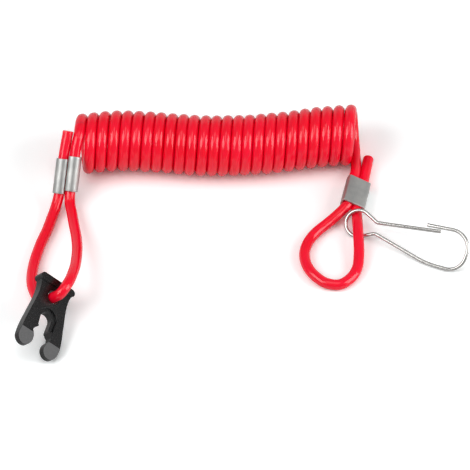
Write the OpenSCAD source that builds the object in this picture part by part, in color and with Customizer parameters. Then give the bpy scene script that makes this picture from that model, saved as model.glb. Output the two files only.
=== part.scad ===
// Stop-switch lanyard: a coiled tether with a fork clip on one loop and a
// spring-wire snap hook on the other. It lies on a table, the plane Z = 0.

/* [Cord] */
// Diameter of the tether's cord
cord_d = 5.2; // [4:0.1:5.4]
// Outside diameter of the coil
coil_d = 30; // [26:0.5:31]

/* [Crimps] */
// Length of each crimp sleeve along the cord
crimp_len = 17; // [12:0.5:18]
// Thickness of the crimp's metal strip
crimp_wall = 0.8; // [0.5:0.1:1]
// How far the closed crimp squeezes into the cord, on the radius
crimp_bite = 0.1; // [0.05:0.05:0.3]
// Gap between the tips of the crimp's two curled arms
crimp_seam = 0.2; // [0.1:0.05:0.4]
// Outer radius of the corners of the crimp's flat back
crimp_corner = 1.2; // [1.1:0.1:2]

/* [Clip] */
// Length of the clip from its back bar to its leg tips
clip_len = 39.6; // [37:0.2:42]
// Width of the clip over its legs
clip_w = 23.4; // [22:0.1:26]
// Thickness of the clip's plate
clip_t = 4.6; // [3.4:0.1:4.8]
// Width of the clip's back bar
bar_w = 20.4; // [19:0.1:22]
// Size of the back bar along the clip
bar_depth = 3.8; // [2.4:0.1:4.2]
// Height of the back bar, which stands out of both faces of the plate
bar_h = 6; // [5:0.1:6.4]
// Half the width of the clip's neck
neck_half = 8; // [7:0.1:9]
// Bore for the cord
hole_d = 6.8; // [6.6:0.1:7.2]
// Centre of the cord's bore from the back of the bar
hole_back = 9.3; // [9:0.1:9.8]
// Diameter of the seat that grips the switch's stem
seat_d = 6.6; // [6:0.1:7.4]
// Centre of the seat from the back of the bar
seat_back = 21.5; // [20.4:0.1:22]
// Gap between the two nibs that keep the stem in its seat
nib_gap = 6; // [5.2:0.1:6.4]
// Width of the recessed ledge round the seat
ledge_w = 2.1; // [1.2:0.1:2.4]
// Depth of the recessed ledge
ledge_deep = 1; // [0.4:0.1:1.6]
// Length of the sloping lead-in at each leg's tip
ramp_len = 7.3; // [6:0.1:8.6]
// How much thinner the lead-in makes the tip
ramp_drop = 2; // [1:0.1:2.6]

/* [Snap hook] */
// Diameter of the hook's spring wire
wire_d = 1.8; // [1.4:0.1:1.9]
// Radius of the eye, to the middle of the wire
eye_r = 6.4; // [6.3:0.1:6.8]
// Distance from the eye's centre to the far side of the big end
hook_reach = 55.6; // [52:0.2:62]
// Width of the big end, between the middles of its two sides
hook_width = 19.9; // [18.5:0.1:21.5]
// Radius of the bend between the big end and the frame's tip
end_r = 9; // [7:0.5:9.5]
// Radius of the bend between the lower arm and the big end
heel_r = 8; // [6:0.5:8.5]
// Length over which the gate's tip lies beside the frame's tip
gate_lap = 7.1; // [4:0.1:8]
// Gap between the gate and the frame's tip
gate_gap = 0.2; // [0.1:0.05:0.5]

/* [Hidden] */
$fn = 64;

cord_r = cord_d / 2;
coil_r = coil_d / 2;
wire_r = wire_d / 2;

red = [0.85, 0.04, 0.1];
dull_metal = [0.62, 0.63, 0.62];
black = [0.09, 0.09, 0.1];
bright_wire = [0.78, 0.77, 0.75];

tube_sides = 8;
coil_sides = 12;
// Extra length that lets a cut pass through both faces of what it cuts
past = 1;

// Where each rigid piece lies: its own origin, and its turn about X, Y and Z
clip_crimp_at = [-85.8, 49.5, 13.7];
clip_crimp_turn = [42.5, 0, -9.5];
hook_crimp_at = [54.4, 44.4, 4.8];
hook_crimp_turn = [-3, 22, -13];
clip_at = [-91.4, -27, 12.4];
clip_turn = [7.5, 41.3, -8.4];
hook_at = [55.9, 20.9, 1.5];
hook_turn = [38, 0, -25.8];

// Middle line of the coil, which lies on the table
coil_axis = [
    [-78, 68.5, coil_r], [-62, 70.5, coil_r], [-42, 69.5, coil_r], [-22, 67.5, coil_r], [-2, 67.5, coil_r],
    [18, 69.5, coil_r], [38, 73, coil_r], [55.3, 74.5, coil_r]
];

// Cord from its free end: crimp, clip, crimp again and up to the coil
clip_route = [
    [-85.1, 65.4, 28.1], [-87.1, 57.3, 20.5], [-88.5, 49.9, 13.7], [-89.7, 42.7, 6.9], [-91.2, 37.3, 3.9],
    [-93, 31.5, 2.8], [-95, 24, 2.6], [-97.5, 16.5, 2.6], [-99.5, 9, 2.6], [-101, 1, 2.9],
    [-101.5, -6.5, 3.9], [-101.1, -12.4, 4.8], [-99.7, -17.7, 5.6], [-97.7, -22.3, 6.8], [-95.8, -25, 8.4],
    [-93.7, -26.3, 10], [-91.4, -27, 12.4], [-89.3, -27.8, 15], [-87, -28.3, 17.4], [-85.2, -26.8, 18.9],
    [-83.6, -23.8, 19.2], [-82.2, -20.1, 18.8], [-81.2, -15.5, 17.6], [-80.3, -10.1, 15.9], [-79.9, -4, 13.8],
    [-79.8, 5.5, 10.7], [-80.6, 15.5, 8], [-82, 24.5, 6.2], [-83.4, 33.5, 5.3], [-84.3, 38.5, 5.4],
    [-84.4, 41.8, 6.9], [-83.1, 49.1, 13.7], [-81.9, 56.3, 20.5], [-81, 60.1, 24.1], [-79.9, 64.1, 26.7],
    [-78.6, 68.5, 27.4]
];

// Cord from the coil: crimp, loop, crimp again and free end
hook_route = [
    [55.3, 61.9, 3.8], [54.6, 57, 4.9], [53.7, 53.3, 5.3], [52, 44.9, 5.7], [50.3, 36.6, 6], [47, 33, 5],
    [41, 27.5, 3.5], [35.5, 22.5, 2.7], [31.5, 16.5, 2.6], [29.5, 9, 2.6], [30.5, 2, 2.6], [34.5, -5, 2.6],
    [40, -9.5, 2.6], [46, -10.3, 2.6], [51.5, -6.3, 2.6], [54.8, 0, 2.9], [55.7, 7.5, 4.2], [55.7, 14.5, 5],
    [55.5, 21, 5.3], [55.2, 30.5, 4.6], [55, 35.6, 4.3], [56.7, 43.9, 3.8], [58.4, 52.2, 3.4],
    [61.6, 69.8, 2.6]
];

// Tubes along a list of points
function unit(v) = v / norm(v);
function heading(p, i) = unit(p[min(i + 1, len(p) - 1)] - p[max(i - 1, 0)]);
function square_to(side, along) = unit(side - (side * along) * along);
function side_at(p, i) = square_to(i == 0 ? [1, 1, 9] : side_at(p, i - 1), heading(p, i));
function ring(centre, along, side, r, sides) = [
    for (k = [0 : sides - 1])
        let (a = 360 * k / sides)
        centre + r * (cos(a) * side + sin(a) * cross(along, side))
];

module tube(p, r, sides) {
    corners = [for (i = [0 : len(p) - 1]) each ring(p[i], heading(p, i), side_at(p, i), r, sides)];
    last = (len(p) - 1) * sides;
    walls = [
        for (i = [0 : len(p) - 2], k = [0 : sides - 1])
            let (next = (k + 1) % sides)
            [i * sides + k, (i + 1) * sides + k, (i + 1) * sides + next, i * sides + next]
    ];
    start_cap = [for (k = [0 : sides - 1]) k];
    end_cap = [for (k = [0 : sides - 1]) last + sides - 1 - k];
    polyhedron(corners, concat([start_cap], walls, [end_cap]));
}

module coil() {
    color(red) tube(coil_axis, coil_r, coil_sides);
}

module clip_loop() {
    color(red) tube(clip_route, cord_r, tube_sides);
}

module hook_loop() {
    color(red) tube(hook_route, cord_r, tube_sides);
}

// Crimp: a metal strip with a flat back, its two arms curled round the two strands until their tips meet
barrel_r = cord_r - crimp_bite;
barrel_x = cord_r + crimp_bite;
crimp_back = barrel_r + crimp_wall;

// Section of the two strands' room, or of the whole crimp when grown by the wall
module crimp_section(grow, corner) {
    r = barrel_r + grow;
    half = barrel_x + r;
    for (side = [-1, 1])
        translate([side * barrel_x, 0]) circle(r);
    for (side = [-1, 1])
        translate([side * (half - corner), r - corner]) circle(corner);
    translate([-(half - corner), 0]) square([2 * (half - corner), r]);
    translate([-half, 0]) square([2 * half, r - corner]);
}

// The crimp's length runs along Y and its flat back faces +Z
module crimp() {
    rotate([90, 0, 0])
        linear_extrude(crimp_len, center = true)
        difference() {
            crimp_section(crimp_wall, crimp_corner);
            crimp_section(0, crimp_corner - crimp_wall);
            translate([-crimp_seam / 2, -crimp_back]) square([crimp_seam, crimp_back]);
        }
}

module clip_crimp() {
    color(dull_metal) translate(clip_crimp_at) rotate(clip_crimp_turn) rotate([0, 180, 0]) crimp();
}

module hook_crimp() {
    color(dull_metal) translate(hook_crimp_at) rotate(hook_crimp_turn) crimp();
}

// Clip: its own origin is the middle of the cord's bore, its legs point to -Y and its face is +Z
bar_y = hole_back;
seat_y = hole_back - seat_back;
tip_y = hole_back - clip_len;
seat_r = seat_d / 2;
tip_r = 4.1;
tip_x = clip_w / 2 - tip_r;
nib_y = seat_y - 5.5;
scallop_x = 5.4;
ramp_y = tip_y + ramp_len;

function bezier(a, b, c, d, t) =
    a * pow(1 - t, 3) + b * 3 * t * pow(1 - t, 2) + c * 3 * pow(t, 2) * (1 - t) + d * pow(t, 3);

// Outer flank of one leg, from under the bar to the widest place
flank_steps = 12;
flank = [
    for (i = [0 : flank_steps])
        bezier(
            [neck_half + 1, bar_y - bar_depth - 0.2], [neck_half - 1.2, bar_y - 11],
            [neck_half + 3, seat_y - 0.6], [clip_w / 2, tip_y + 6.5], i / flank_steps
        )
];
// Inner edge of one leg, from its tip up to the seat
inner_edge = [
    [tip_x, tip_y + tip_r], [tip_x - tip_r, tip_y + tip_r], [tip_x - tip_r + 0.3, tip_y + 6],
    [scallop_x - 0.4, tip_y + 8], [scallop_x, nib_y - 4.2], [scallop_x - 0.2, nib_y - 2.6],
    [nib_gap / 2 + 0.2, nib_y - 0.8], [nib_gap / 2, nib_y + 0.2], [seat_r, seat_y]
];

module clip_half() {
    polygon(concat([[0, bar_y - bar_depth / 2], [neck_half + 1, bar_y - bar_depth / 2]], flank,
        [[clip_w / 2, tip_y + tip_r]], inner_edge, [[0, seat_y]]));
    translate([tip_x, tip_y + tip_r]) circle(tip_r);
}

// Room inside one half of the fork, where the ledge is cut into the plate's face
module ledge_half() {
    translate([0, seat_y]) circle(seat_r + ledge_w);
    translate([0, nib_y]) square([nib_gap / 2 + ledge_w, seat_y - nib_y]);
}

module back_bar() {
    end_r = bar_depth / 2;
    translate([0, bar_y - end_r, -bar_h / 2])
        linear_extrude(bar_h)
        union() {
            translate([-bar_w / 2 + end_r, -end_r]) square([bar_w - bar_depth, bar_depth]);
            for (side = [-1, 1])
                translate([side * (bar_w / 2 - end_r), 0]) circle(end_r);
        }
}

module plate() {
    translate([0, 0, -clip_t / 2])
        linear_extrude(clip_t)
        union() {
            clip_half();
            mirror([1, 0]) clip_half();
        }
}

// Wedge of air over the lead-ins of both legs
module ramp_cut() {
    slope = atan(ramp_drop / ramp_len);
    translate([-clip_w / 2 - past, ramp_y, clip_t / 2])
        rotate([slope, 0, 0])
        translate([0, -2 * ramp_len, 0])
        cube([clip_w + 2 * past, 2 * ramp_len, clip_t]);
}

module clip_body() {
    difference() {
        union() {
            plate();
            back_bar();
        }
        cylinder(h = bar_h + 2 * past, d = hole_d, center = true);
        translate([0, seat_y, 0]) cylinder(h = clip_t + 2 * past, r = seat_r, center = true);
        translate([0, 0, clip_t / 2 - ledge_deep])
            linear_extrude(ledge_deep + past)
            union() {
                ledge_half();
                mirror([1, 0]) ledge_half();
            }
        ramp_cut();
    }
}

module stop_clip() {
    color(black) translate(clip_at) rotate(clip_turn) clip_body();
}

// Snap hook: one bent wire in the XY plane of its own frame, turned into place.
// X runs along the hook from its eye, and Y runs across it towards the gate.
eye_at = [-2.2, 5.8];
gate_kink = [6.4, 9.2];
neck_bump = [7.2, 3.9];
arm_bend = [hook_reach - 19.6, -1.2];
heel = [eye_at[0] + hook_reach, 0.2];
shoulder = heel + [0, hook_width];
gate_angle = 11.7;
gate_len = hook_reach - 23.7;
gate_tip = gate_kink + gate_len * [cos(gate_angle), sin(gate_angle)];
// The frame's tip runs past the gate's tip, a small gap away from it
beside_gate = gate_tip + (wire_d + gate_gap) * [-sin(gate_angle), cos(gate_angle)];
frame_tip = beside_gate + gate_lap * unit(beside_gate - shoulder);

// Where a line from a point outside the eye touches the eye's circle, on the side given by turn
function touch(p, turn) =
    let (
        toward = atan2(p[1] - eye_at[1], p[0] - eye_at[0]),
        a = toward + turn * acos(eye_r / norm(p - eye_at))
    )
    eye_at + eye_r * [cos(a), sin(a)];
eye_top = touch(gate_kink, 1);
eye_bottom = touch(neck_bump, -1);

function bearing(a, b) = atan2(b[1] - a[1], b[0] - a[0]);
function wrap(a) = a > 180 ? a - 360 : a < -180 ? a + 360 : a;
// Points round a centre, from the angle start through the angle sweep
function bend(centre, r, start, sweep) =
    let (n = ceil(abs(sweep) / bend_step))
    [for (i = [0 : n]) centre + r * [cos(start + sweep * i / n), sin(start + sweep * i / n)]];
// Points of the bend that rounds the corner between the straights from a and to b
function corner_bend(a, corner, b, r) =
    let (
        way = bearing(a, corner),
        turn = wrap(bearing(corner, b) - way),
        side = sign(turn) * 90,
        start = corner - r * tan(abs(turn) / 2) * unit(corner - a)
    )
    bend(start + r * [cos(way + side), sin(way + side)], r, way - side, turn);

kink_r = 2.5;
bump_r = 3;
arm_r = 40;
bend_step = 11;
wire_sides = 12;
eye_start = bearing(eye_at, eye_top);
eye_sweep = 360 + bearing(eye_at, eye_bottom) - eye_start;
// Middle of the wire from the gate's tip, round the eye and the big end, to the frame's tip
wire_line = concat(
    [gate_tip],
    corner_bend(gate_tip, gate_kink, eye_top, kink_r),
    bend(eye_at, eye_r, eye_start, eye_sweep),
    corner_bend(eye_bottom, neck_bump, arm_bend, bump_r),
    corner_bend(neck_bump, arm_bend, heel, arm_r),
    corner_bend(arm_bend, heel, shoulder, heel_r),
    corner_bend(heel, shoulder, frame_tip, end_r),
    [frame_tip]
);

module snap_hook() {
    color(bright_wire) translate(hook_at) rotate(hook_turn)
        tube([for (q = wire_line) [q[0], q[1], 0]], wire_r, wire_sides);
}

coil();
clip_loop();
hook_loop();
clip_crimp();
hook_crimp();
stop_clip();
snap_hook();
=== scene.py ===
import math

import bmesh
import bpy
from mathutils import Euler, Matrix, Vector


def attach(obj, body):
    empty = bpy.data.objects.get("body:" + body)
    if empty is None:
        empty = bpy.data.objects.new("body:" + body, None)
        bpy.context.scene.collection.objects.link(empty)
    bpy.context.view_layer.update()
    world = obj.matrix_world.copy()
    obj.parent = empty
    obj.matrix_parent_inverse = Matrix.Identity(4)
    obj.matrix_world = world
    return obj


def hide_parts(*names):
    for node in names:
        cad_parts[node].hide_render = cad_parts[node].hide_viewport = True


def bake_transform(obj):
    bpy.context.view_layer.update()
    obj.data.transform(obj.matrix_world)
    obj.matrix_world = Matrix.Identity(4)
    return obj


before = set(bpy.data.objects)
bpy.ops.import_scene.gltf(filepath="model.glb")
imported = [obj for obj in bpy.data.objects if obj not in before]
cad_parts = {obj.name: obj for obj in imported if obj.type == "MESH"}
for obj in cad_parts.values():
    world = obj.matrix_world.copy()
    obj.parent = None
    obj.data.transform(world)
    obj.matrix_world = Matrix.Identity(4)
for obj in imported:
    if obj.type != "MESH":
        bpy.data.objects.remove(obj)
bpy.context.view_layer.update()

MM = 0.001

# Radius of the cord in the loops, and in the coil, where the turns touch each other
CORD_R = 2.6 * MM
WOUND_R = 2.78 * MM
# Stretch of each loop over which the cord swells to the coil's thickness
SWELL_LEN = 9 * MM
# Rounding of the cord's cut ends
CORD_CUT_R = 0.4 * MM
TUBE_SIDES = 24

COIL_R = 15 * MM
# Unevenness of the coil's turns, along the coil and towards its axis
COIL_SWAY = 0.1 * MM
COIL_SINK = 0.06 * MM
# The coil begins just before the top of its first turn and ends at the bottom of its last one
COIL_START = -0.03
COIL_TURNS = 24.53
# Places along X of the tops of some turns, counted from the first one
TURN_TOPS = ((0, -79.4), (4, -56.95), (12, -13.5), (18, 18.7), (22, 40.6), (24, 52.1))

# Points drawn on each turn, and the steps between points on the loops and on the coil's axis
TURN_POINTS = 40
LOOP_STEP = 1.2 * MM
AXIS_STEP = 2 * MM
# Steps of the coil that each loop's piece runs on for, inside the coil's cord
RUN_ON = 2

# Crimps: a metal strip with a flat back and two arms, each curled round a barrel
CRIMP_LEN = 17 * MM
CRIMP_WALL = 0.8 * MM
BARREL_R = 2.5 * MM
BARREL_X = 2.7 * MM
# Bend between the back and an arm, and the angle round the barrel at which the arm ends
CRIMP_BEND_R = 0.8 * MM
ARM_TIP_ANGLE = 217
# Rounding of the strip's edges
CRIMP_EDGE_R = 0.14 * MM
# Where the crimps lie, and how far each barrel of the clip's crimp was squeezed askew
CLIP_CRIMP_AT = (-85.8, 49.5, 13.7)
CLIP_CRIMP_TURN = (42.5, 0, -9.5)
CLIP_CRIMP_ASKEW = -0.9 * MM
HOOK_CRIMP_AT = (54.4, 44.4, 4.8)
HOOK_CRIMP_TURN = (-3, 22, -13)

# Turn of the clip about X, Y and Z, the lead-ins at its tips, and the rounding of its edges
CLIP_TURN = (7.5, 41.3, -8.4)
RAMP_LEN = 7.3 * MM
RAMP_DROP = 2 * MM
CLIP_EDGE_R = 0.35 * MM
# Edges over this angle stay crisp, and the curves' smaller steps are shaded as one
CRISP_ANGLE = math.radians(12)

# Wire of the snap hook, and the rounding of its ends
WIRE_R = 0.9 * MM
WIRE_CUT_R = 0.3 * MM
WIRE_SIDES = 20


def mm(points):
    """The same points in metres."""
    return [Vector(p) * MM for p in points]


# Routes of the cord, as in the CAD model: free end, crimp, clip and crimp again
CLIP_ROUTE = mm([
    (-85.1, 65.4, 28.1), (-87.1, 57.3, 20.5), (-88.5, 49.9, 13.7), (-89.7, 42.7, 6.9),
    (-91.2, 37.3, 3.9), (-93, 31.5, 2.8), (-95, 24, 2.6), (-97.5, 16.5, 2.6), (-99.5, 9, 2.6),
    (-101, 1, 2.9), (-101.5, -6.5, 3.9), (-101.1, -12.4, 4.8), (-99.7, -17.7, 5.6),
    (-97.7, -22.3, 6.8), (-95.8, -25, 8.4), (-93.7, -26.3, 10), (-91.4, -27, 12.4),
    (-89.3, -27.8, 15), (-87, -28.3, 17.4), (-85.2, -26.8, 18.9), (-83.6, -23.8, 19.2),
    (-82.2, -20.1, 18.8), (-81.2, -15.5, 17.6), (-80.3, -10.1, 15.9), (-79.9, -4, 13.8),
    (-79.8, 5.5, 10.7), (-80.6, 15.5, 8), (-82, 24.5, 6.2), (-83.4, 33.5, 5.3), (-84.3, 38.5, 5.4),
    (-84.4, 41.8, 6.9), (-83.1, 49.1, 13.7), (-81.9, 56.3, 20.5), (-81, 60.1, 24.1),
    (-79.9, 64.1, 26.7), (-78.6, 68.5, 27.4),
])
# Coil, crimp, loop, crimp again and free end
HOOK_ROUTE = mm([
    (55.3, 61.9, 3.8), (54.6, 57, 4.9), (53.7, 53.3, 5.3), (52, 44.9, 5.7), (50.3, 36.6, 6),
    (47, 33, 5), (41, 27.5, 3.5), (35.5, 22.5, 2.7), (31.5, 16.5, 2.6), (29.5, 9, 2.6),
    (30.5, 2, 2.6), (34.5, -5, 2.6), (40, -9.5, 2.6), (46, -10.3, 2.6), (51.5, -6.3, 2.6),
    (54.8, 0, 2.9), (55.7, 7.5, 4.2), (55.7, 14.5, 5), (55.5, 21, 5.3), (55.2, 30.5, 4.6),
    (55, 35.6, 4.3), (56.7, 43.9, 3.8), (58.4, 52.2, 3.4), (61.6, 69.8, 2.6),
])
# Bottom of the coil's last turn, from where the cord runs on to its crimp
HOOK_LEAD = mm([(55.3, 68.5, 2.8)])
COIL_AXIS = mm([
    (-85, 67.5, 15), (-78, 68.5, 15), (-62, 70.5, 15), (-42, 69.5, 15), (-22, 67.5, 15),
    (-2, 67.5, 15), (18, 69.5, 15), (38, 73, 15), (55.3, 74.5, 15), (62, 74.8, 15),
])


def make_camera():
    """The photograph's view: a long lens two metres off, looking down at 50 degrees."""
    target = Vector((-4, 22.9, 0)) * MM
    distance = 2.0
    height = math.radians(50)
    data = bpy.data.cameras.new("camera")
    data.sensor_width = 36
    data.lens = 315.9
    data.clip_start = 0.05
    data.clip_end = 50
    camera = bpy.data.objects.new("camera", data)
    camera.location = target + distance * Vector((0, -math.cos(height), math.sin(height)))
    camera.rotation_euler = (math.pi / 2 - height, 0, 0)
    bpy.context.scene.collection.objects.link(camera)
    bpy.context.scene.camera = camera


# Lines and tubes


def smooth(points, step):
    """Points about one step apart on a smooth curve through the given points."""
    spans = [(b - a).length for a, b in zip(points, points[1:])]
    rates = [(b - a) / span for a, b, span in zip(points, points[1:], spans)]
    slopes = [rates[0]]
    for i in range(1, len(spans)):
        share = spans[i - 1] / (spans[i - 1] + spans[i])
        slopes.append(rates[i - 1] * (1 - share) + rates[i] * share)
    slopes.append(rates[-1])
    line = []
    for i, span in enumerate(spans):
        count = max(1, round(span / step))
        for k in range(count):
            t = k / count
            line.append(
                points[i] * (2 * t**3 - 3 * t**2 + 1)
                + slopes[i] * span * (t**3 - 2 * t**2 + t)
                + points[i + 1] * (3 * t**2 - 2 * t**3)
                + slopes[i + 1] * span * (t**3 - t**2)
            )
    line.append(points[-1].copy())
    return line


def turned(degrees):
    """The turn about X, then Y, then Z, as the CAD model gives it."""
    return Euler([math.radians(d) for d in degrees], "XYZ").to_matrix()


def new_object(name, data, material):
    obj = bpy.data.objects.new(name, data)
    bpy.context.scene.collection.objects.link(obj)
    data.materials.append(material)
    return obj


def mesh_object(name, mesh, material):
    """The finished bmesh as an object."""
    data = bpy.data.meshes.new(name)
    mesh.to_mesh(data)
    mesh.free()
    return new_object(name, data, material)


def rounded(ring, outward, size):
    """The rings of a rounded end, with outward 1 at the line's end and -1 at its start."""
    point, forward, side, radius = ring
    steps = 4
    cap = []
    for k in range(1, steps + 1):
        a = math.pi / 2 * k / steps
        inset = size * (1 - math.cos(a))
        push = outward * size * (math.sin(a) - 1)
        cap.append((point + forward * push, forward, side, radius - inset))
    return cap


def tube(name, line, radii, material, round_start=0.0, round_end=0.0, sides=TUBE_SIDES):
    """A closed round tube with a radius for each point of its line, and its ends rounded off."""
    count = len(line)
    along = [(line[min(i + 1, count - 1)] - line[max(i - 1, 0)]).normalized() for i in range(count)]
    side = along[0].orthogonal().normalized()
    rings = []
    for point, forward, radius in zip(line, along, radii):
        side = (side - side.dot(forward) * forward).normalized()
        rings.append((point, forward, side, radius))
    first, last = rings[0], rings[-1]
    if round_end:
        kept = [ring for ring in rings[:-1] if (ring[0] - line[-1]).length > round_end]
        shoulder = (line[-1] - along[-1] * round_end, *last[1:])
        rings = [*kept, shoulder, *rounded(last, 1, round_end)]
    if round_start:
        kept = [ring for ring in rings[1:] if (ring[0] - line[0]).length > round_start]
        shoulder = (line[0] + along[0] * round_start, *first[1:])
        rings = [*reversed(rounded(first, -1, round_start)), shoulder, *kept]

    angles = [2 * math.pi * k / sides for k in range(sides)]
    mesh = bmesh.new()
    loops = []
    for point, forward, side, radius in rings:
        other = forward.cross(side)
        spokes = [math.cos(a) * side + math.sin(a) * other for a in angles]
        loops.append([mesh.verts.new(point + radius * spoke) for spoke in spokes])
    for a, b in zip(loops, loops[1:]):
        for k in range(sides):
            n = (k + 1) % sides
            mesh.faces.new((a[k], a[n], b[n], b[k])).smooth = True
    mesh.faces.new(list(reversed(loops[0])))
    mesh.faces.new(loops[-1])
    return mesh_object(name, mesh, material)


def round_edges(obj, radius, over_angle):
    """A narrow round on the edges that are sharper than the given angle."""
    edges = obj.modifiers.new("edges", "BEVEL")
    edges.width = radius
    edges.segments = 3
    edges.limit_method = "ANGLE"
    edges.angle_limit = math.radians(over_angle)
    return edges


# Cord


def turn_x(turn):
    """Place of the cord along the coil after a number of turns from the first one's top."""
    k = next((n for n in range(1, len(TURN_TOPS)) if TURN_TOPS[n][0] >= turn), len(TURN_TOPS) - 1)
    (t0, x0), (t1, x1) = TURN_TOPS[k - 1], TURN_TOPS[k]
    return (x0 + (x1 - x0) * (turn - t0) / (t1 - t0)) * MM


def coil_line():
    """Middle of the wound cord: up the front, over the top and down the back of each turn."""
    axis = smooth(COIL_AXIS, AXIS_STEP)
    wound_r = COIL_R - WOUND_R
    steps = round(COIL_TURNS * TURN_POINTS)
    line = []
    for i in range(steps + 1):
        turn = COIL_START + COIL_TURNS * i / steps
        # The turns' unevenness fades out at both ends
        fade = math.sin(math.pi * i / steps) ** 0.5 if 0 < i < steps else 0
        x = turn_x(turn) + fade * COIL_SWAY * math.sin(2.4 * turn)
        r = wound_r - fade * COIL_SINK * (1 + math.sin(1.7 * turn + 1))
        k = next(n for n in range(len(axis) - 1) if axis[n + 1].x >= x)
        share = (x - axis[k].x) / (axis[k + 1].x - axis[k].x)
        y = axis[k].y + share * (axis[k + 1].y - axis[k].y)
        a = 2 * math.pi * turn
        line.append(Vector((x, y + r * math.sin(a), COIL_R + r * math.cos(a))))
    return line


def round_section_nodes(radius, material):
    """Geometry nodes that turn a line of edges into a round tube, at any pose of the line."""
    tree = bpy.data.node_groups.new("round_cord", "GeometryNodeTree")
    tree.interface.new_socket("Geometry", in_out="INPUT", socket_type="NodeSocketGeometry")
    tree.interface.new_socket("Geometry", in_out="OUTPUT", socket_type="NodeSocketGeometry")
    add = tree.nodes.new
    start = add("NodeGroupInput")
    end = add("NodeGroupOutput")
    to_curve = add("GeometryNodeMeshToCurve")
    circle = add("GeometryNodeCurvePrimitiveCircle")
    circle.inputs["Resolution"].default_value = TUBE_SIDES
    circle.inputs["Radius"].default_value = radius
    sweep = add("GeometryNodeCurveToMesh")
    sweep.inputs["Fill Caps"].default_value = True
    shade = add("GeometryNodeSetShadeSmooth")
    paint = add("GeometryNodeSetMaterial")
    paint.inputs["Material"].default_value = material
    link = tree.links.new
    link(start.outputs[0], to_curve.inputs["Mesh"])
    link(to_curve.outputs["Curve"], sweep.inputs["Curve"])
    link(circle.outputs["Curve"], sweep.inputs["Profile Curve"])
    link(sweep.outputs["Mesh"], shade.inputs["Geometry"])
    link(shade.outputs["Geometry"], paint.inputs["Geometry"])
    link(paint.outputs["Geometry"], end.inputs[0])
    return tree


def loop_line(points):
    """A smooth line that stays on the table."""
    line = smooth(points, LOOP_STEP)
    for point in line:
        point.z = max(point.z, CORD_R)
    return line


def loop_radii(line, coil_end):
    """The cord's radius along a loop, which swells to the coil's at the end that runs into it."""
    shares = [max(0, 1 - (point - coil_end).length / SWELL_LEN) for point in line]
    return [CORD_R + (WOUND_R - CORD_R) * share for share in shares]


def make_cord(material):
    """The tether: one cord, whose coil lies between two loops that ride on their bodies."""
    coil = coil_line()
    clip_line = loop_line(CLIP_ROUTE[:-1] + coil[:RUN_ON + 1])
    hook_line = loop_line(coil[-RUN_ON - 1:] + HOOK_LEAD + HOOK_ROUTE)

    data = bpy.data.meshes.new("coil_cord")
    data.from_pydata(coil, [(i, i + 1) for i in range(len(coil) - 1)], [])
    wound = new_object("coil_cord", data, material)
    wound.modifiers.new("round", "NODES").node_group = round_section_nodes(WOUND_R, material)
    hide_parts("coil")
    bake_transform(wound)

    clip_part = tube("clip_loop_cord", clip_line, loop_radii(clip_line, clip_line[-1]), material,
                     round_start=CORD_CUT_R)
    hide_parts("clip_loop")
    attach(clip_part, "tether")
    hook_part = tube("hook_loop_cord", hook_line, loop_radii(hook_line, hook_line[0]), material,
                     round_end=CORD_CUT_R)
    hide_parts("hook_loop")
    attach(hook_part, "hook_end")


# Materials


def principled(name):
    material = bpy.data.materials.new(name)
    material.use_nodes = True
    nodes = material.node_tree.nodes
    return material, nodes, material.node_tree.links.new, nodes["Principled BSDF"]


def noise(nodes, link, scale, detail, stretch=(1, 1, 1)):
    """Noise in the piece's own coordinates, in cycles per metre."""
    place = nodes.new("ShaderNodeTexCoord")
    mapping = nodes.new("ShaderNodeMapping")
    mapping.inputs["Scale"].default_value = stretch
    texture = nodes.new("ShaderNodeTexNoise")
    texture.inputs["Scale"].default_value = scale
    texture.inputs["Detail"].default_value = detail
    link(place.outputs["Object"], mapping.inputs["Vector"])
    link(mapping.outputs["Vector"], texture.inputs["Vector"])
    return texture.outputs["Fac"]


def ranged(nodes, link, value, low, high, start=0.3, end=0.7):
    """The value's range from start to end turned into the range from low to high."""
    node = nodes.new("ShaderNodeMapRange")
    node.inputs["From Min"].default_value = start
    node.inputs["From Max"].default_value = end
    node.inputs["To Min"].default_value = low
    node.inputs["To Max"].default_value = high
    link(value, node.inputs["Value"])
    return node.outputs["Result"]


def mixed(nodes, link, share, low, high):
    """A blend of two colours, each of them given as a colour or as a node's output."""
    node = nodes.new("ShaderNodeMix")
    node.data_type = "RGBA"
    for socket, colour in ((node.inputs[6], low), (node.inputs[7], high)):
        if isinstance(colour, tuple):
            socket.default_value = (*colour, 1)
        else:
            link(colour, socket)
    link(share, node.inputs[0])
    return node.outputs[2]


def speckled(nodes, link, shader, pattern, low, high):
    """A base colour that varies between two shades with the pattern."""
    link(mixed(nodes, link, ranged(nodes, link, pattern, 0, 1), low, high), shader.inputs["Base Color"])


def bump(nodes, link, shader, height, distance, strength):
    node = nodes.new("ShaderNodeBump")
    node.inputs["Distance"].default_value = distance
    node.inputs["Strength"].default_value = strength
    link(height, node.inputs["Height"])
    link(node.outputs["Normal"], shader.inputs["Normal"])


def red_cord():
    """Glossy polyurethane that lets a little light through."""
    material, nodes, link, shader = principled("red_cord")
    cloud = noise(nodes, link, 60, 3)
    fine = noise(nodes, link, 900, 5)
    speckled(nodes, link, shader, cloud, (0.88, 0.002, 0.020), (0.94, 0.004, 0.032))
    link(ranged(nodes, link, fine, 0.08, 0.15), shader.inputs["Roughness"])
    shader.inputs["Subsurface Weight"].default_value = 0.3
    shader.inputs["Subsurface Radius"].default_value = (1, 0.12, 0.12)
    shader.inputs["Subsurface Scale"].default_value = 2 * MM
    bump(nodes, link, shader, fine, 0.02 * MM, 0.2)
    return material


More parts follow.
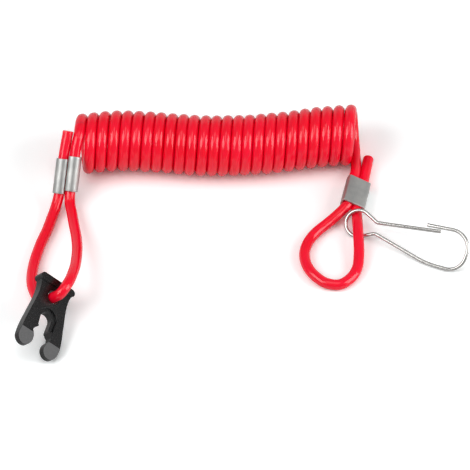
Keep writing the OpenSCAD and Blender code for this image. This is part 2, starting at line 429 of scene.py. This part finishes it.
def crimp_metal():
    """Dull plated strip, brushed across the crimp."""
    material, nodes, link, shader = principled("crimp_metal")
    cloud = noise(nodes, link, 180, 4)
    brushed = noise(nodes, link, 700, 6, (6, 0.35, 1.5))
    speckled(nodes, link, shader, cloud, (0.46, 0.47, 0.46), (0.60, 0.60, 0.58))
    link(ranged(nodes, link, brushed, 0.42, 0.58), shader.inputs["Roughness"])
    shader.inputs["Metallic"].default_value = 1
    bump(nodes, link, shader, brushed, 0.04 * MM, 0.5)
    return material


def clip_plastic():
    """Black moulded plastic with a faint grain."""
    material, nodes, link, shader = principled("clip_plastic")
    cloud = noise(nodes, link, 120, 3)
    grain = noise(nodes, link, 2200, 3)
    speckled(nodes, link, shader, cloud, (0.003, 0.003, 0.0034), (0.008, 0.008, 0.0084))
    link(ranged(nodes, link, grain, 0.2, 0.3), shader.inputs["Roughness"])
    shader.inputs["Specular IOR Level"].default_value = 0.42
    bump(nodes, link, shader, grain, 0.03 * MM, 0.35)
    return material


def ramp_plastic_and_sheen():
    """The lead-ins at the clip's tips, which the mould leaves rougher, and whose paler grey is a
    painted sheen for the light they catch.
    """
    material, nodes, link, shader = principled("ramp_plastic_and_sheen")
    grain = noise(nodes, link, 2600, 4)
    # Painted sheen: greys far paler than the clip's black, standing in for the light that the lead-ins
    # reflect
    speckled(nodes, link, shader, grain, (0.075, 0.075, 0.076), (0.115, 0.115, 0.117))
    shader.inputs["Roughness"].default_value = 0.62
    bump(nodes, link, shader, grain, 0.04 * MM, 0.6)
    return material


def bright_nickel():
    """Plated spring wire."""
    material, nodes, link, shader = principled("bright_nickel")
    streaks = noise(nodes, link, 500, 4)
    speckled(nodes, link, shader, streaks, (0.56, 0.55, 0.53), (0.64, 0.63, 0.61))
    link(ranged(nodes, link, streaks, 0.18, 0.28), shader.inputs["Roughness"])
    shader.inputs["Metallic"].default_value = 1
    return material


# Crimps


def crimp_outline():
    """Middle of the strip's section, from one arm's tip round both barrels to the other arm's tip."""
    middle_r = BARREL_R + CRIMP_WALL / 2
    barrel_steps = 12
    bend_steps = 6
    half = []
    for k in range(barrel_steps + 1):
        a = math.radians(ARM_TIP_ANGLE + (360 - ARM_TIP_ANGLE) * k / barrel_steps)
        half.append((BARREL_X + middle_r * math.cos(a), middle_r * math.sin(a)))
    for k in range(bend_steps + 1):
        a = math.radians(90 * k / bend_steps)
        half.append((BARREL_X + middle_r - CRIMP_BEND_R + CRIMP_BEND_R * math.cos(a),
                     middle_r - CRIMP_BEND_R + CRIMP_BEND_R * math.sin(a)))
    return half + [(-x, z) for x, z in reversed(half)]


def make_crimp(name, node, body, place, turn, material, flipped=False, askew=0.0):
    """A crimp of bent strip, with each of its barrels set askew by the given length."""
    steps = 12
    outline = crimp_outline()
    mesh = bmesh.new()
    rows = []
    for i in range(steps + 1):
        y = CRIMP_LEN * (i / steps - 0.5)
        rows.append([mesh.verts.new((x, y + (askew if x > 0 else -askew), z)) for x, z in outline])
    for a, b in zip(rows, rows[1:]):
        for k in range(len(outline) - 1):
            mesh.faces.new((a[k], a[k + 1], b[k + 1], b[k])).smooth = True
    crimp = mesh_object(name, mesh, material)
    wall = crimp.modifiers.new("wall", "SOLIDIFY")
    wall.thickness = CRIMP_WALL
    wall.offset = 0
    wall.use_even_offset = True
    round_edges(crimp, CRIMP_EDGE_R, over_angle=50)
    way = turned(turn).to_4x4()
    if flipped:
        way = way @ Matrix.Rotation(math.pi, 4, "Y")
    crimp.matrix_world = Matrix.Translation(Vector(place) * MM) @ way
    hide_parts(node)
    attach(crimp, body)


def make_crimps(material):
    make_crimp("clip_end_crimp", "clip_crimp", "tether", CLIP_CRIMP_AT, CLIP_CRIMP_TURN, material,
               flipped=True, askew=CLIP_CRIMP_ASKEW)
    make_crimp("hook_end_crimp", "hook_crimp", "hook_end", HOOK_CRIMP_AT, HOOK_CRIMP_TURN, material)


# Clip


def make_clip(material, ramp_sheen_material):
    """The CAD clip with its moulded edges rounded, and its two lead-ins in their own material, whose
    paler grey is a painted sheen.
    """
    weld = 0.002 * MM
    flat = math.radians(2)
    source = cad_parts["stop_clip"]
    mesh = bmesh.new()
    mesh.from_mesh(source.data)
    bmesh.ops.remove_doubles(mesh, verts=mesh.verts, dist=weld)
    bmesh.ops.dissolve_limit(mesh, angle_limit=flat, verts=mesh.verts, edges=mesh.edges)
    slope = math.atan(RAMP_DROP / RAMP_LEN)
    ramp_way = turned(CLIP_TURN) @ Vector((0, -math.sin(slope), math.cos(slope)))
    for face in mesh.faces:
        face.smooth = True
        # The lead-ins take the second material, with its painted sheen
        face.material_index = int(face.normal.dot(ramp_way) > 0.999)
    for edge in mesh.edges:
        edge.smooth = edge.calc_face_angle(0) < CRISP_ANGLE
    clip = mesh_object("fork_clip", mesh, material)
    clip.data.materials.append(ramp_sheen_material)
    clip.matrix_world = source.matrix_world
    edges = round_edges(clip, CLIP_EDGE_R, over_angle=32)
    edges.harden_normals = True
    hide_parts("stop_clip")
    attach(clip, "clip")


# Snap hook: the wire's line in the hook's own plane, in millimetres.
# X runs along the hook from its eye, and Y runs across it towards the gate.

HOOK_AT = Vector((55.9, 20.9, 1.5))
HOOK_TURN = (38, 0, -25.8)
HOOK_REACH = 55.6
HOOK_WIDTH = 19.9
EYE_AT = Vector((-2.2, 5.8))
EYE_R = 6.4
# Gate, with the kink where it leaves the eye
GATE_KINK = Vector((6.4, 9.2))
GATE_KINK_R = 2.5
GATE_ANGLE = math.radians(11.7)
GATE_LEN = HOOK_REACH - 23.7
# Lower arm, from the bump in the neck over a slight bend to the big end
NECK_BUMP = Vector((7.2, 3.9))
NECK_BUMP_R = 3
ARM_BEND = Vector((HOOK_REACH - 19.6, -1.2))
ARM_BEND_R = 40
HEEL = Vector((EYE_AT.x + HOOK_REACH, 0.2))
HEEL_R = 8
# The big end's far bend, and the frame's tip beside the gate's tip
END_R = 9
GATE_LAP = 7.1
GATE_GAP = 0.2


def bearing(a, b):
    return math.atan2(b.y - a.y, b.x - a.x)


def towards(angle):
    return Vector((math.cos(angle), math.sin(angle)))


def touch(point, turn):
    """Where the line from a point outside the eye touches the eye's circle."""
    angle = bearing(EYE_AT, point) + turn * math.acos(EYE_R / (point - EYE_AT).length)
    return EYE_AT + EYE_R * towards(angle)


def arc(centre, r, start, sweep):
    """Points at most four degrees apart on a circle."""
    count = max(2, math.ceil(abs(math.degrees(sweep)) / 4))
    return [centre + r * towards(start + sweep * i / count) for i in range(count + 1)]


def corner(a, b, c, r):
    """The bend that rounds the corner b between the straights from a and to c."""
    way = bearing(a, b)
    turn = (bearing(b, c) - way + math.pi) % (2 * math.pi) - math.pi
    side = math.copysign(math.pi / 2, turn)
    start = b - (b - a).normalized() * r * math.tan(abs(turn) / 2)
    return arc(start + r * towards(way + side), r, way - side, turn)


def wire_line():
    """Middle of the wire, from the gate's tip round the eye and the big end to the frame's tip."""
    shoulder = HEEL + Vector((0, HOOK_WIDTH))
    gate_tip = GATE_KINK + GATE_LEN * towards(GATE_ANGLE)
    beside = gate_tip + (2 * WIRE_R / MM + GATE_GAP) * towards(GATE_ANGLE + math.pi / 2)
    frame_tip = beside + (beside - shoulder).normalized() * GATE_LAP
    eye_top = touch(GATE_KINK, 1)
    eye_bottom = touch(NECK_BUMP, -1)
    eye_start = bearing(EYE_AT, eye_top)
    eye_sweep = 2 * math.pi + bearing(EYE_AT, eye_bottom) - eye_start
    flat = [
        gate_tip,
        *corner(gate_tip, GATE_KINK, eye_top, GATE_KINK_R),
        *arc(EYE_AT, EYE_R, eye_start, eye_sweep),
        *corner(eye_bottom, NECK_BUMP, ARM_BEND, NECK_BUMP_R),
        *corner(NECK_BUMP, ARM_BEND, HEEL, ARM_BEND_R),
        *corner(ARM_BEND, HEEL, shoulder, HEEL_R),
        *corner(HEEL, shoulder, frame_tip, END_R),
        frame_tip,
    ]
    way = turned(HOOK_TURN)
    return [(HOOK_AT + way @ p.to_3d()) * MM for p in flat]


def make_hook(material):
    line = wire_line()
    hook = tube("wire_hook", line, [WIRE_R] * len(line), material, WIRE_CUT_R, WIRE_CUT_R, WIRE_SIDES)
    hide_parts("snap_hook")
    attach(hook, "hook")


# Stage


def ray_kinds(nodes, link):
    """Two switches: 1 for the camera's own rays, and 1 for rays in a mirror or through glass."""
    path = nodes.new("ShaderNodeLightPath")
    either = nodes.new("ShaderNodeMath")
    either.operation = "ADD"
    link(path.outputs["Is Glossy Ray"], either.inputs[0])
    link(path.outputs["Is Transmission Ray"], either.inputs[1])
    return path.outputs["Is Camera Ray"], either.outputs[0]


def make_floor():
    """A pale floor with the object's shadow, which the camera sees as white."""
    bpy.ops.mesh.primitive_plane_add(size=6, location=(0, 0, 0))
    floor = bpy.context.object
    floor.name = "floor"
    material = bpy.data.materials.new("floor")
    material.use_nodes = True
    nodes = material.node_tree.nodes
    link = material.node_tree.links.new
    nodes.clear()
    camera, mirror = ray_kinds(nodes, link)
    near = nodes.new("ShaderNodeBsdfDiffuse")
    pale = mixed(nodes, link, mirror, (0.84, 0.84, 0.84), (0.72, 0.72, 0.72))
    link(mixed(nodes, link, camera, pale, (1.19, 1.22, 1.22)), near.inputs["Color"])
    # Beyond the lamps' reach, along the stretched coil, the camera sees the floor mostly as plain white
    far = nodes.new("ShaderNodeEmission")
    far.inputs["Strength"].default_value = 1.15
    place = nodes.new("ShaderNodeTexCoord")
    away = nodes.new("ShaderNodeVectorMath")
    away.operation = "LENGTH"
    link(place.outputs["Object"], away.inputs[0])
    share = nodes.new("ShaderNodeMath")
    share.operation = "MULTIPLY"
    link(camera, share.inputs[0])
    distance = ranged(nodes, link, away.outputs["Value"], 0, 0.75, start=0.2, end=0.45)
    link(distance, share.inputs[1])
    both = nodes.new("ShaderNodeMixShader")
    link(share.outputs[0], both.inputs[0])
    link(near.outputs[0], both.inputs[1])
    link(far.outputs[0], both.inputs[2])
    out = nodes.new("ShaderNodeOutputMaterial")
    link(both.outputs[0], out.inputs["Surface"])
    floor.data.materials.append(material)


def make_world():
    """Even light, white for the camera, and for mirrors a room that is palest low at the back."""
    world = bpy.data.worlds.new("studio")
    world.use_nodes = True
    nodes = world.node_tree.nodes
    link = world.node_tree.links.new
    background = nodes["Background"]
    background.inputs["Color"].default_value = (1, 1, 1, 1)
    place = nodes.new("ShaderNodeTexCoord")
    backward = nodes.new("ShaderNodeVectorMath")
    backward.operation = "DOT_PRODUCT"
    backward.inputs[1].default_value = (0, 0.8, -0.9)
    link(place.outputs["Generated"], backward.inputs[0])
    camera, mirror = ray_kinds(nodes, link)
    mirrored = nodes.new("ShaderNodeMix")
    mirrored.inputs["A"].default_value = 0.3
    link(mirror, mirrored.inputs["Factor"])
    room = ranged(nodes, link, backward.outputs["Value"], 0.25, 0.8, start=0.0, end=0.7)
    link(room, mirrored.inputs["B"])
    seen = nodes.new("ShaderNodeMix")
    seen.inputs["B"].default_value = 1.0
    link(camera, seen.inputs["Factor"])
    link(mirrored.outputs["Result"], seen.inputs["A"])
    link(seen.outputs["Result"], background.inputs["Strength"])
    bpy.context.scene.world = world


def softbox(name, place, width, depth, power):
    """A softbox aimed at the middle of the object."""
    middle = Vector((0, 0.03, 0))
    data = bpy.data.lights.new(name, "AREA")
    data.shape = "RECTANGLE"
    data.size = width
    data.size_y = depth
    data.energy = power
    light = bpy.data.objects.new(name, data)
    light.location = place
    light.rotation_euler = (middle - Vector(place)).to_track_quat("-Z", "Y").to_euler()
    bpy.context.scene.collection.objects.link(light)


def make_lights():
    """Large softboxes left and right, which draw two streaks on each turn, and a dimmer one above."""
    softbox("left_softbox", (-0.67, -0.25, 0.70), width=0.7, depth=0.65, power=5.4)
    softbox("right_softbox", (0.88, -0.17, 0.44), width=0.6, depth=0.9, power=6.6)
    softbox("top_softbox", (0, -0.08, 1.05), width=0.5, depth=0.7, power=1.5)


def main():
    scene = bpy.context.scene
    scene.view_settings.view_transform = "Standard"
    make_camera()
    make_cord(red_cord())
    make_crimps(crimp_metal())
    make_clip(clip_plastic(), ramp_plastic_and_sheen())
    make_hook(bright_nickel())
    make_floor()
    make_world()
    make_lights()


main()
